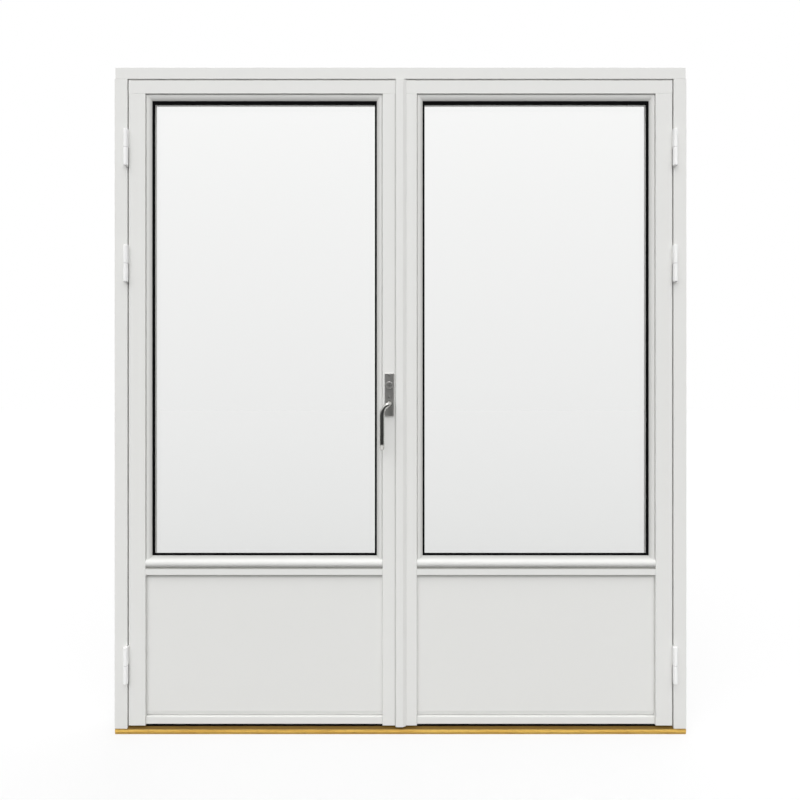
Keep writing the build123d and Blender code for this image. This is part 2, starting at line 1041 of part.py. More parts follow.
def bolt_and_rod(leaf, end, tip, inner_end):
    """A flat rod with a round bolt at its outer end. end is the leaf's top or foot."""
    direction = 1 if tip > end else -1
    root = end - direction * (bolt_length - bolt_throw)
    u = (rod_centre - rod_thickness / 2, rod_centre + rod_thickness / 2)
    rod = edge_block(leaf, u, rod_width / 2, tuple(sorted((inner_end, root))))
    start = root - direction * rod_thickness
    round_part = post(
        leaf.from_meeting(rod_centre), lock_y, bolt_radius, tuple(sorted((start, tip)))
    )
    tip_edge = round_part.edges().sort_by(Axis.Z)[-1 if direction > 0 else 0]
    round_part = chamfer(tip_edge, bolt_chamfer)
    return rod + round_part


top_tip = head_under + bolt_throw
foot_tip = sill_top - bolt_throw


def flush_levels(end, direction):
    """The low and high end of a flush bolt's plate."""
    outer = end - direction * flush_end
    return tuple(sorted((outer, outer - direction * flush_length)))


def thumb_level(end, direction):
    """The middle height of a flush bolt's thumb piece, thrown."""
    return end - direction * thumb_from_end


def flush_spaces(end, direction):
    """What a flush bolt needs cut out of the passive leaf's edge."""
    levels = flush_levels(end, direction)
    groove = tuple(sorted((end, levels[0] if direction > 0 else levels[1])))
    half = faceplate_width / 2 + lock_fit
    return [
        edge_groove(passive, groove),
        edge_block(passive, (0, faceplate_thickness), half, grown(levels, lock_fit)),
    ]


def flush_plate(end, direction):
    """A flush bolt's plate, with the slot that its thumb piece slides in."""
    u = (0, faceplate_thickness)
    levels = flush_levels(end, direction)
    plate = edge_block(passive, u, faceplate_width / 2, levels)
    middle = thumb_level(end, direction)
    reach = thumb_height / 2 + thumb_fit
    slot = tuple(sorted((middle + direction * reach, middle - direction * (reach + flush_travel))))
    return plate - edge_block(passive, u, thumb_width / 2 + thumb_fit, slot)


def flush_bolt(end, direction, tip):
    """A flush bolt: round end, flat rod and thumb piece."""
    middle = thumb_level(end, direction)
    inner_end = middle - direction * thumb_height / 2
    body = bolt_and_rod(passive, end, tip, inner_end)
    z = (middle - thumb_height / 2, middle + thumb_height / 2)
    u = (thumb_sink, rod_centre)
    return body + edge_block(passive, u, thumb_width / 2, z)


def passive_spaces():
    return flush_spaces(leaf_top, 1) + flush_spaces(leaf_foot, -1)


def passive_meeting_stile():
    body = meeting_stile(passive)
    for space in passive_spaces():
        body -= space
    return body


def passive_top_rail():
    body = top_rail(passive)
    for space in flush_spaces(leaf_top, 1):
        body -= space
    return body


# Handles


def handle_plate(back, front):
    """A flat handle plate; front is the y of its show face."""
    plate = block(
        (lock_x - plate_width / 2, lock_x + plate_width / 2),
        (back, front),
        (plate_base, plate_base + plate_height),
    )
    plate = fillet(plate.edges().filter_by(Axis.Y), plate_corner)
    show = plate.faces().sort_by(Axis.Y)[0 if front < back else -1]
    plate = fillet(show.edges(), plate_round)
    y = grown((back, front), over)
    plate -= through(lock_x, lever_height, collar_radius + collar_fit, y)
    for z in (upper_screw_height, lower_screw_height):
        plate -= through(lock_x, z, screw_radius + screw_fit, y)
    return plate


def outside_plate():
    y = (-plate_thickness - over, over)
    plate = handle_plate(0, -plate_thickness)
    return plate - through(lock_x, cylinder_height, cylinder_radius + cylinder_fit, y)


def inside_plate():
    show = leaf_thickness + plate_thickness
    y = (leaf_thickness - over, show + over)
    plate = handle_plate(leaf_thickness, show)
    return plate - through(lock_x, cylinder_height, turn_boss_radius + collar_fit, y)


def plate_screw(z):
    """A through screw with a flat head outdoors and a sleeve nut indoors."""
    front = -plate_thickness
    back = leaf_thickness + plate_thickness
    shank = through(lock_x, z, screw_radius, (front, back))
    head_out = through(lock_x, z, screw_head_radius, (front - screw_head_height, front))
    head_in = through(lock_x, z, screw_head_radius, (back, back + screw_head_height))
    return shank + head_out + head_in


def lever(mirrored):
    """A round lever: out from the plate, over and down to a straight grip."""
    face_y = -plate_thickness
    out_y = -lever_projection
    grip_x = lock_x - lever_shift
    path = FilletPolyline(
        (lock_x, face_y - collar_height / 2, lever_height),
        (lock_x, out_y, lever_height),
        (grip_x, out_y, lever_height - lever_drop),
        (grip_x, out_y, lever_tip_height + lever_tip_run),
        (grip_x, out_y + lever_tip_return, lever_tip_height + lever_radius / 2),
        radius=[lever_neck_bend, lever_elbow_bend, lever_tip_bend],
    )
    start = Plane(origin=path @ 0, z_dir=path % 0)
    bar = sweep(start * Circle(lever_radius), path)
    bar += Pos(path @ 1) * Sphere(lever_radius)
    collar = through(
        lock_x, lever_height, collar_radius, (face_y - collar_height, -rest_gap)
    )
    shape = bar + collar
    half = spindle_side / 2 + spindle_fit
    shape -= block(
        (lock_x - half, lock_x + half),
        (-plate_thickness - spindle_reach, over),
        (lever_height - half, lever_height + half),
    )
    if mirrored:
        middle = Plane(origin=(0, leaf_thickness / 2, 0), z_dir=(0, 1, 0))
        shape = mirror(shape, middle)
    return shape


def spindle():
    half = spindle_side / 2
    reach = plate_thickness + spindle_reach - spindle_end_gap
    return block(
        (lock_x - half, lock_x + half),
        (-reach, leaf_thickness + reach),
        (lever_height - half, lever_height + half),
    )


def follower():
    """The lock's follower, a round hub on the square spindle."""
    y = (lock_y - case_thickness / 2, lock_y + case_thickness / 2)
    half = spindle_side / 2 + spindle_fit
    hub = through(lock_x, lever_height, follower_radius, y)
    return hub - block(
        (lock_x - half, lock_x + half), y, (lever_height - half, lever_height + half)
    )


def cylinder_housing():
    y = (-plate_thickness - cylinder_proud, lock_y + case_thickness / 2)
    body = through(lock_x, cylinder_height, cylinder_radius, y)
    front_edge = body.edges().sort_by(Axis.Y)[0]
    body = chamfer(front_edge, joint_arris)
    bore = through(lock_x, cylinder_height, plug_radius + plug_fit, grown(y, over))
    return body - bore


def cylinder_plug():
    """The turning plug, with its keyway."""
    front = -plate_thickness - cylinder_proud - plug_proud
    y = (front, lock_y + case_thickness / 2)
    body = through(lock_x, cylinder_height, plug_radius, y)
    slot = block(
        (lock_x - keyway_width / 2, lock_x + keyway_width / 2),
        (front - over, front + keyway_depth),
        (cylinder_height - keyway_height / 2, cylinder_height + keyway_height / 2),
    )
    return body - slot


def thumb_turn():
    """The indoor turn, on a shank from the plug."""
    plug_end = lock_y + case_thickness / 2
    face = leaf_thickness + plate_thickness
    shank = through(lock_x, cylinder_height, turn_shank_radius, (plug_end, face))
    boss_y = (leaf_thickness + rest_gap, face + turn_boss_height)
    boss = through(lock_x, cylinder_height, turn_boss_radius, boss_y)
    wing_y = (face + turn_boss_height, face + turn_boss_height + turn_wing_height)
    wing = block(
        (lock_x - turn_wing_thickness / 2, lock_x + turn_wing_thickness / 2),
        wing_y,
        (cylinder_height - turn_wing_length / 2, cylinder_height + turn_wing_length / 2),
    )
    wing = fillet(wing.edges().filter_by(Axis.X), turn_wing_thickness)
    return shank + boss + wing


active = Leaf("active", -1)
passive = Leaf("passive", 1)


def build_frame():
    save("head", head())
    save("left_jamb", jamb(-1))
    save("right_jamb", jamb(1))
    save("threshold", threshold())
    save("frame_seal", *frame_seal())
    sleeves = [sleeve(side, z) for side in (-1, 1) for z in fixing_heights]
    save("fixing_sleeves", *sleeves)
    upper_keep = keep((head_under, head_under + keep_thickness))
    lower_keep = keep((sill_top - keep_thickness, sill_top))
    save("keep_plates", upper_keep, lower_keep)
    places = [(side, height) for side in (-1, 1) for height in hinge_heights]
    save("jamb_hinge_halves", *[frame_hinge_half(*place) for place in places])
    save("hinge_pins", *[hinge_pin(*place) for place in places])


def build_leaf(leaf):
    save(leaf.file("hinge_stile"), hinge_stile(leaf))
    save(leaf.file("mid_rail"), mid_rail(leaf))
    save(leaf.file("foot_rail"), foot_rail(leaf))
    save(leaf.file("panel"), panel(leaf))
    save(leaf.file("foot_seal"), foot_seal(leaf))
    outer_pane = pane(leaf, (unit_front, unit_front + pane_thickness))
    inner_pane = pane(leaf, (unit_back - pane_thickness, unit_back))
    save(leaf.file("panes"), outer_pane, inner_pane)
    save(leaf.file("glass_spacer"), glass_spacer(leaf))
    save(leaf.file("glazing_seals"), *glazing_seals(leaf))
    save(leaf.file("setting_blocks"), *setting_blocks(leaf))
    foot = sill_bead(leaf)
    save(leaf.file("sill_bead"), foot)
    save(leaf.file("top_bead"), top_bead(leaf))
    places = (leaf.from_hinge, leaf.from_meeting)
    save(leaf.file("side_beads"), *[side_bead(place, foot) for place in places])
    halves = [leaf_hinge_half(leaf.side, height) for height in hinge_heights]
    save(leaf.file("hinge_halves"), *halves)


def build_active_parts():
    save("active_meeting_stile", active_meeting_stile())
    save("active_top_rail", active_top_rail())
    save("astragal", astragal())
    save("lock_faceplate", faceplate())
    save("lock_case", lock_case())
    save("lock_follower", follower())
    middle = lever_height
    save("top_rod", bolt_and_rod(active, leaf_top, top_tip, middle + rod_inner_gap))
    save("bottom_rod", bolt_and_rod(active, leaf_foot, foot_tip, middle - rod_inner_gap))
    save("outside_plate", outside_plate())
    save("inside_plate", inside_plate())
    save("plate_screws", plate_screw(upper_screw_height), plate_screw(lower_screw_height))
    save("outside_lever", lever(False))
    save("inside_lever", lever(True))
    save("spindle", spindle())
    save("lock_cylinder", cylinder_housing())
    save("cylinder_plug", cylinder_plug())
    save("thumb_turn", thumb_turn())


def build_passive_parts():
    save("passive_meeting_stile", passive_meeting_stile())
    save("passive_top_rail", passive_top_rail())
    save("inner_strip", inner_strip())
    save("inner_strip_seal", inner_strip_seal())
    save("flush_bolt_plates", flush_plate(leaf_top, 1), flush_plate(leaf_foot, -1))
    save("passive_top_bolt", flush_bolt(leaf_top, 1, top_tip))
    save("passive_bottom_bolt", flush_bolt(leaf_foot, -1, foot_tip))


build_frame()
build_leaf(active)
build_leaf(passive)
build_active_parts()
build_passive_parts()
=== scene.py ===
"""A pair of painted timber french doors in their frame, dressed for a studio picture."""

import math

import bmesh
import bpy
from mathutils import Matrix, Vector


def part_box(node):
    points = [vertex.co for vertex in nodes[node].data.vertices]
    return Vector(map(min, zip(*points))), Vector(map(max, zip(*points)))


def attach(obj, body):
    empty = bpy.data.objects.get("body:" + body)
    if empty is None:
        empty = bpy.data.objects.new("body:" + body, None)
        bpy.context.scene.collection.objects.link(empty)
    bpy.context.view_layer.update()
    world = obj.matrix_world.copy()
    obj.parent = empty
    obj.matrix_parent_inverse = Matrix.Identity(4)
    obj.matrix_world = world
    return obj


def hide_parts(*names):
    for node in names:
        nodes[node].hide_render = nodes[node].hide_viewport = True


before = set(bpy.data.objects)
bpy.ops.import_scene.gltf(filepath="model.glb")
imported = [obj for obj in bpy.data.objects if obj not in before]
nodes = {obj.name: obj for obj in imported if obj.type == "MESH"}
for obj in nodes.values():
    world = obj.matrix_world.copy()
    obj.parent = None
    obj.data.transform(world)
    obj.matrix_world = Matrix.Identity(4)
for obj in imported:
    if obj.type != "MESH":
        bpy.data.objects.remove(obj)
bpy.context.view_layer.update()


# Shader steps that the room and the finishes share


def math_node(tree, operation, first, second):
    """One operation on two values, each a socket or a number."""
    node = tree.nodes.new("ShaderNodeMath")
    node.operation = operation
    for socket, value in zip(node.inputs, (first, second)):
        if isinstance(value, (int, float)):
            socket.default_value = value
        else:
            tree.links.new(value, socket)
    return node.outputs[0]


def clamped(tree, value):
    """The value, held between nought and one."""
    node = tree.nodes.new("ShaderNodeClamp")
    tree.links.new(value, node.inputs[0])
    return node.outputs[0]


def split(tree, vector):
    """The three parts of a vector, by axis."""
    node = tree.nodes.new("ShaderNodeSeparateXYZ")
    tree.links.new(vector, node.inputs[0])
    return node.outputs


# Camera, light and floor


FAR_END_OF_VIEW = 200


def aim(thing, place, target):
    """Put the camera somewhere and point it at a target."""
    thing.location = place
    direction = Vector(target) - Vector(place)
    thing.rotation_euler = direction.to_track_quat("-Z", "Y").to_euler()


def square_camera(centre, height, picture_width, distance):
    """A camera square on to the doors, which takes in this width at their front."""
    data = bpy.data.cameras.new("Camera")
    data.lens = distance * data.sensor_width / picture_width
    data.clip_end = FAR_END_OF_VIEW
    camera = bpy.data.objects.new("Camera", data)
    bpy.context.scene.collection.objects.link(camera)
    aim(camera, (centre, -distance, height), (centre, 0, height))
    bpy.context.scene.camera = camera


def soft_sun(name, left, height, strength, spread, diffuse=True, glossy=False):
    """An even light from these angles to the left of the front and up, in degrees. Glass
    doesn't show it, and shiny pieces mirror it only where it is glossy."""
    data = bpy.data.lights.new(name, "SUN")
    data.energy = strength
    data.angle = math.radians(spread)
    lamp = bpy.data.objects.new(name, data)
    bpy.context.scene.collection.objects.link(lamp)
    lamp.rotation_euler = (math.radians(90 - height), 0, math.radians(-left))
    lamp.visible_diffuse = diffuse
    lamp.visible_glossy = glossy
    lamp.visible_transmission = False


def backdrop_rays(tree):
    """One where the backdrop is looked at, mirrored or seen through glass."""
    path = tree.nodes.new("ShaderNodeLightPath").outputs
    shown = math_node(tree, "MAXIMUM", path["Is Camera Ray"], path["Is Glossy Ray"])
    return math_node(tree, "MAXIMUM", shown, path["Is Transmission Ray"])


# How far the room's dim end is lowered, as a part of a unit direction, and how sharp
# its edge is
ROOM_END_DROP = 0.10
ROOM_END_SHARPNESS = 2.0


def mirrored_room(tree, half_width, half_height, dimness):
    """The room's level: white, but dim straight ahead of the doors where a shiny piece
    mirrors it. The dim end is an oval a little below the horizon, and its sizes are
    parts of a unit direction."""
    direction = split(tree, tree.nodes.new("ShaderNodeTexCoord").outputs["Generated"])
    across = math_node(tree, "DIVIDE", direction["X"], half_width)
    raised = math_node(tree, "ADD", direction["Z"], ROOM_END_DROP)
    up = math_node(tree, "DIVIDE", raised, half_height)
    across_square = math_node(tree, "MULTIPLY", across, across)
    up_square = math_node(tree, "MULTIPLY", up, up)
    outside = math_node(tree, "ADD", across_square, up_square)
    inside = math_node(tree, "SUBTRACT", 1.0, outside)
    oval = clamped(tree, math_node(tree, "MULTIPLY", inside, ROOM_END_SHARPNESS))
    ahead = math_node(tree, "LESS_THAN", direction["Y"], 0.0)
    path = tree.nodes.new("ShaderNodeLightPath").outputs
    mirrored = math_node(
        tree, "GREATER_THAN", path["Is Glossy Ray"], path["Is Transmission Ray"]
    )
    shown = math_node(tree, "MULTIPLY", ahead, mirrored)
    dim = math_node(tree, "MULTIPLY", oval, shown)
    return math_node(tree, "SUBTRACT", 1.0, math_node(tree, "MULTIPLY", dim, dimness))


def white_background(tree):
    """A white background shader."""
    node = tree.nodes.new("ShaderNodeBackground")
    node.inputs["Color"].default_value = (1, 1, 1, 1)
    return node


def white_studio(fill):
    """A white room that lights the doors softly from all round."""
    world = bpy.data.worlds.new("White studio")
    world.use_nodes = True
    bpy.context.scene.world = world
    tree = world.node_tree
    tree.nodes.clear()
    seen = white_background(tree)
    room = mirrored_room(tree, half_width=1.4, half_height=0.60, dimness=0.95)
    tree.links.new(room, seen.inputs["Strength"])
    light = white_background(tree)
    light.inputs["Strength"].default_value = fill
    mix = tree.nodes.new("ShaderNodeMixShader")
    output = tree.nodes.new("ShaderNodeOutputWorld")
    tree.links.new(backdrop_rays(tree), mix.inputs["Fac"])
    tree.links.new(light.outputs[0], mix.inputs[1])
    tree.links.new(seen.outputs[0], mix.inputs[2])
    tree.links.new(mix.outputs[0], output.inputs["Surface"])


def white_floor(reach, grey, glow):
    """A pale floor that keeps the doors' shadow. It glows where it is looked at, and
    shiny pieces mirror the room instead of it."""
    material = bpy.data.materials.new("White floor")
    material.use_nodes = True
    tree = material.node_tree
    shader = tree.nodes["Principled BSDF"]
    shader.inputs["Base Color"].default_value = (grey, grey, grey, 1)
    shader.inputs["Roughness"].default_value = 0.9
    shader.inputs["Specular IOR Level"].default_value = 0.0
    shader.inputs["Emission Color"].default_value = (1, 1, 1, 1)
    level = math_node(tree, "MULTIPLY", backdrop_rays(tree), glow)
    tree.links.new(level, shader.inputs["Emission Strength"])
    bm = bmesh.new()
    bmesh.ops.create_grid(bm, x_segments=1, y_segments=1, size=reach)
    mesh = bpy.data.meshes.new("Floor")
    bm.to_mesh(mesh)
    bm.free()
    mesh.materials.append(material)
    floor = bpy.data.objects.new("Floor", mesh)
    bpy.context.scene.collection.objects.link(floor)
    floor.visible_glossy = False


bpy.context.scene.view_settings.view_transform = "Standard"
square_camera(centre=-0.0016, height=1.042, picture_width=2.496, distance=1.9)
white_studio(fill=0.56)
soft_sun("Key light", left=6, height=42, strength=2.2, spread=80)
soft_sun(
    "Sheen light", left=10, height=62, strength=1.3, spread=24, diffuse=False, glossy=True
)
soft_sun("Back light", left=205, height=42, strength=1.0, spread=80)
white_floor(reach=60, grey=0.25, glow=0.70)


# Patterns that several finishes share


def effect(name, inputs, outputs):
    """A new node group with these named inputs and outputs."""
    tree = bpy.data.node_groups.new(name, "ShaderNodeTree")
    for label, kind, value in inputs:
        socket = tree.interface.new_socket(label, in_out="INPUT", socket_type=kind)
        if value is not None:
            socket.default_value = value
    for label, kind in outputs:
        tree.interface.new_socket(label, in_out="OUTPUT", socket_type=kind)
    entry = tree.nodes.new("NodeGroupInput")
    exit_node = tree.nodes.new("NodeGroupOutput")
    return tree, entry.outputs, exit_node.inputs


def stretched(tree, vector, scale, stretch):
    """The vector, scaled up and then drawn out along X."""
    pull = tree.nodes.new("ShaderNodeCombineXYZ")
    tree.links.new(math_node(tree, "DIVIDE", scale, stretch), pull.inputs["X"])
    tree.links.new(scale, pull.inputs["Y"])
    tree.links.new(scale, pull.inputs["Z"])
    multiply = tree.nodes.new("ShaderNodeVectorMath")
    multiply.operation = "MULTIPLY"
    tree.links.new(vector, multiply.inputs[0])
    tree.links.new(pull.outputs[0], multiply.inputs[1])
    return multiply.outputs[0]


def noise(tree, vector, scale, detail, roughness=0.5, distortion=0.0):
    """A noise value between nought and one."""
    node = tree.nodes.new("ShaderNodeTexNoise")
    node.inputs["Scale"].default_value = scale
    node.inputs["Detail"].default_value = detail
    node.inputs["Roughness"].default_value = roughness
    node.inputs["Distortion"].default_value = distortion
    tree.links.new(vector, node.inputs["Vector"])
    return node.outputs["Fac"]


def ramp(tree, value, stops):
    """Turn a value into a colour by these (place, colour) stops."""
    node = tree.nodes.new("ShaderNodeValToRGB")
    elements = node.color_ramp.elements
    elements[0].position, elements[0].color = stops[0][0], (*stops[0][1], 1)
    elements[1].position, elements[1].color = stops[-1][0], (*stops[-1][1], 1)
    for place, colour in stops[1:-1]:
        element = elements.new(place)
        element.color = (*colour, 1)
    tree.links.new(value, node.inputs["Fac"])
    return node.outputs["Color"]


def build_brush_lines():
    """Fine parallel lines along X, as a brush or a grinding belt leaves."""
    tree, given, made = effect(
        "Brush lines",
        [
            ("Vector", "NodeSocketVector", None),
            ("Fineness", "NodeSocketFloat", 900.0),
            ("Stretch", "NodeSocketFloat", 40.0),
        ],
        [("Lines", "NodeSocketFloat"), ("Drift", "NodeSocketFloat")],
    )
    drawn = stretched(tree, given["Vector"], given["Fineness"], given["Stretch"])
    lines = noise(tree, drawn, scale=1.0, detail=3.0, roughness=0.6)
    tree.links.new(lines, made["Lines"])
    tree.links.new(noise(tree, drawn, scale=0.08, detail=2.0), made["Drift"])
    return tree


BANDS_PER_PATCH = 9.0
PORE_LEVEL = 0.64


def build_timber_grain():
    """Long grain along X: broad growth bands, streaks and short dark pores."""
    tree, given, made = effect(
        "Timber grain",
        [
            ("Vector", "NodeSocketVector", None),
            ("Band width", "NodeSocketFloat", 45.0),
            ("Stretch", "NodeSocketFloat", 22.0),
        ],
        [
            ("Bands", "NodeSocketFloat"),
            ("Streaks", "NodeSocketFloat"),
            ("Pores", "NodeSocketFloat"),
        ],
    )
    drawn = stretched(tree, given["Vector"], given["Band width"], given["Stretch"])
    broad = noise(tree, drawn, scale=1.0, detail=2.0, distortion=0.4)
    risen = math_node(tree, "MULTIPLY", broad, BANDS_PER_PATCH)
    tree.links.new(math_node(tree, "PINGPONG", risen, 1.0), made["Bands"])
    streaks = noise(tree, drawn, scale=9.0, detail=4.0, roughness=0.65)
    tree.links.new(streaks, made["Streaks"])
    spots = noise(tree, drawn, scale=26.0, detail=1.0)
    tree.links.new(math_node(tree, "GREATER_THAN", spots, PORE_LEVEL), made["Pores"])
    return tree


def build_dust():
    """Soft uneven patches, and more of them low down, where splashes dry."""
    tree, given, made = effect(
        "Dust and mottling",
        [
            ("Vector", "NodeSocketVector", None),
            ("Patch size", "NodeSocketFloat", 7.0),
            ("Splash height", "NodeSocketFloat", 0.12),
        ],
        [("Patches", "NodeSocketFloat"), ("Splash", "NodeSocketFloat")],
    )
    scaled = tree.nodes.new("ShaderNodeVectorMath")
    scaled.operation = "SCALE"
    tree.links.new(given["Vector"], scaled.inputs[0])
    tree.links.new(given["Patch size"], scaled.inputs["Scale"])
    patches = noise(tree, scaled.outputs[0], scale=1.0, detail=4.0, roughness=0.6)
    tree.links.new(patches, made["Patches"])
    up = split(tree, given["Vector"])["Z"]
    height = math_node(tree, "DIVIDE", up, given["Splash height"])
    low = clamped(tree, math_node(tree, "SUBTRACT", 1.0, height))
    tree.links.new(math_node(tree, "MULTIPLY", low, patches), made["Splash"])
    return tree


def build_band_mask():
    """A soft mask round one level of a value: one within the core, and nought a reach
    further away."""
    tree, given, made = effect(
        "Soft band mask",
        [
            ("Value", "NodeSocketFloat", 0.0),
            ("Level", "NodeSocketFloat", 0.0),
            ("Core", "NodeSocketFloat", 0.001),
            ("Reach", "NodeSocketFloat", 0.004),
        ],
        [("Mask", "NodeSocketFloat")],
    )
    offset = math_node(tree, "SUBTRACT", given["Value"], given["Level"])
    away = math_node(tree, "ABSOLUTE", offset, 0.0)
    past = math_node(tree, "SUBTRACT", away, given["Core"])
    share = math_node(tree, "DIVIDE", past, given["Reach"])
    tree.links.new(clamped(tree, math_node(tree, "SUBTRACT", 1.0, share)), made["Mask"])
    return tree


band_mask_tree = build_band_mask()
brush_lines = build_brush_lines()
timber_grain = build_timber_grain()
dust = build_dust()


# Finishes


# Where a Mix node takes its two colours, and where it gives the mixed one
FIRST_COLOUR, SECOND_COLOUR, MIXED_COLOUR = 6, 7, 2


class Finish:
    """A material with its Principled shader, and the patterns that drive it. Its colour
    and roughness hold wherever no pattern is fed to them."""

    def __init__(self, name, colour, roughness, metallic=0.0, shine=0.5):
        self.material = bpy.data.materials.new(name)
        self.material.use_nodes = True
        self.tree = self.material.node_tree
        self.shader = self.tree.nodes["Principled BSDF"]
        self.set("Base Color", (*colour, 1))
        self.set("Roughness", roughness)
        self.set("Metallic", metallic)
        self.set("Specular IOR Level", shine)
        self.place = self.tree.nodes.new("ShaderNodeTexCoord").outputs["Object"]

    def set(self, socket, value):
        """Give one of the shader's sockets an even value."""
        self.shader.inputs[socket].default_value = value

    def feed(self, socket, source):
        """Drive one of the shader's sockets."""
        self.tree.links.new(source, self.shader.inputs[socket])

    def coordinate(self, axis):
        """The object's own place along one axis, in metres."""
        return split(self.tree, self.place)[axis]

    def along(self, axis):
        """The object's own place, turned so that X runs along this axis."""
        turn = {"X": (0, 0, 0), "Z": (0, math.pi / 2, 0)}
        mapping = self.tree.nodes.new("ShaderNodeMapping")
        mapping.inputs["Rotation"].default_value = turn[axis]
        self.tree.links.new(self.place, mapping.inputs["Vector"])
        return mapping.outputs[0]

    def group(self, tree, values):
        """A node that stands for a group, with these input values by label."""
        node = self.tree.nodes.new("ShaderNodeGroup")
        node.node_tree = tree
        for label, value in values.items():
            node.inputs[label.replace("_", " ")].default_value = value
        return node

    def pattern(self, tree, vector, **values):
        """The outputs of a pattern laid out by this vector."""
        node = self.group(tree, values)
        self.tree.links.new(vector, node.inputs["Vector"])
        return node.outputs

    # A soft band, used to lay painted shade in the paint's joints and to place the pale tape
    def band_mask(self, axis, level, core, reach):
        """A mask along one axis of the object's place, in metres."""
        node = self.group(band_mask_tree, {"Level": level, "Core": core, "Reach": reach})
        self.tree.links.new(self.coordinate(axis), node.inputs["Value"])
        return node.outputs["Mask"]

    def value(self, operation, first, second):
        """One operation on two values."""
        return math_node(self.tree, operation, first, second)

    def colours(self, value, *stops):
        """A value turned into a colour by these stops."""
        return ramp(self.tree, value, stops)

    def blend(self, share, first, second):
        """The second colour over the first, where the share is above nought."""
        node = self.tree.nodes.new("ShaderNodeMix")
        node.data_type = "RGBA"
        for number, colour in ((FIRST_COLOUR, first), (SECOND_COLOUR, second)):
            if isinstance(colour, tuple):
                node.inputs[number].default_value = (*colour, 1)
            else:
                self.tree.links.new(colour, node.inputs[number])
        self.tree.links.new(share, node.inputs[0])
        return node.outputs[MIXED_COLOUR]

    def range(self, value, low, high, start=0.0, end=1.0):
        """A value that runs from start to end, spread between low and high instead."""
        node = self.tree.nodes.new("ShaderNodeMapRange")
        self.tree.links.new(value, node.inputs["Value"])
        node.inputs["From Min"].default_value = start
        node.inputs["From Max"].default_value = end
        node.inputs["To Min"].default_value = low
        node.inputs["To Max"].default_value = high
        return node.outputs[0]

    def bump(self, height, depth, under=None):
        """A normal for relief of this depth in metres, over another normal if given."""
        node = self.tree.nodes.new("ShaderNodeBump")
        node.inputs["Strength"].default_value = 1.0
        node.inputs["Distance"].default_value = depth
        self.tree.links.new(height, node.inputs["Height"])
        if under is not None:
            self.tree.links.new(under, node.inputs["Normal"])
        return node.outputs[0]


PAINT = (0.80, 0.80, 0.782)
PAINT_SHADE = (0.775, 0.776, 0.757)
DRIED_SPLASH = (0.66, 0.65, 0.61)
# Painted shade: the dark colour laid in joints and beside beads, where shade falls
JOINT_SHADE = (0.22, 0.22, 0.20)
PAINT_SHINE = 0.25

# Where painted shade lies on the paint, in joints and along edges where shade falls: the
# axis, the place along it, how far from there it is full, over what distance it fades, and
# how strong it is
SEAL_FACE = ("Y", 0.016, 0.0015, 0.012, 0.74)
RAIL_JOINT = ("Z", 0.5164, 0.0015, 0.0012, 0.78)
STRIP_JOINT = ("X", -0.0164, 0.0009, 0.0020, 0.28)
PANEL_TOP = ("Z", 0.495, 0.004, 0.009, 0.55)


def splashed(paint, patches, splashes):
    """White paint with faint patches, and dried splashes low down."""
    even = paint.blend(paint.range(patches["Patches"], 0.0, 0.5), PAINT, PAINT_SHADE)
    share = paint.range(patches["Splash"], 0.0, splashes)
    return paint.blend(share, even, DRIED_SPLASH)


def add_joint_shade(paint, colour, joint):
    """The colour with painted shade in one joint."""
    *place, strength = joint
    return paint.blend(paint.value("MULTIPLY", paint.band_mask(*place), strength), colour, JOINT_SHADE)


def painted_timber(name, axis, joints):
    """Satin white paint on planed timber, with faint brush lines and grain under it, and
    painted shade in its joints."""
    paint = Finish(name, PAINT, 0.46, shine=PAINT_SHINE)
    run = paint.along(axis)
    strokes = paint.pattern(brush_lines, run, Fineness=700.0, Stretch=45.0)
    grain = paint.pattern(timber_grain, run, Band_width=30.0, Stretch=26.0)
    patches = paint.pattern(dust, paint.place, Patch_size=5.0, Splash_height=0.10)
    colour = splashed(paint, patches, splashes=0.12)
    # Painted shade in the joints, where shade falls
    for joint in joints:
        colour = add_joint_shade(paint, colour, joint)
    paint.feed("Base Color", colour)
    paint.feed("Roughness", paint.range(strokes["Drift"], 0.40, 0.54))
    under = paint.bump(grain["Streaks"], depth=0.00012)
    paint.feed("Normal", paint.bump(strokes["Lines"], depth=0.00006, under=under))
    return paint.material


def painted_panel():
    """The same paint, rolled on a smooth board, with a fine orange peel and a painted shadow
    along its top, under the mid rail.
    """
    paint = Finish("Painted panel board", PAINT, 0.44, shine=PAINT_SHINE)
    patches = paint.pattern(dust, paint.place, Patch_size=4.0, Splash_height=0.16)
    colour = splashed(paint, patches, splashes=0.10)
    # Painted shadow along the panel's top, under the mid rail
    paint.feed("Base Color", add_joint_shade(paint, colour, PANEL_TOP))
    paint.feed("Roughness", paint.range(patches["Patches"], 0.38, 0.52))
    peel = noise(paint.tree, paint.place, scale=420.0, detail=2.0)
    paint.feed("Normal", paint.bump(peel, depth=0.00008))
    return paint.material


# Painted shade on the oak, from a height under the leaves and up to a height at its foot, in
# metres, and how much of it shows
OAK_SHADE_FROM, OAK_SHADE_SHARE = 0.0152, 0.93
OAK_FOOT_TO, OAK_FOOT_SHARE = 0.0062, 0.35
SHADED_OAK = (0.15, 0.085, 0.016)
OAK_PORE = (0.33, 0.17, 0.04)
OAK_PORE_SHARE = 0.5


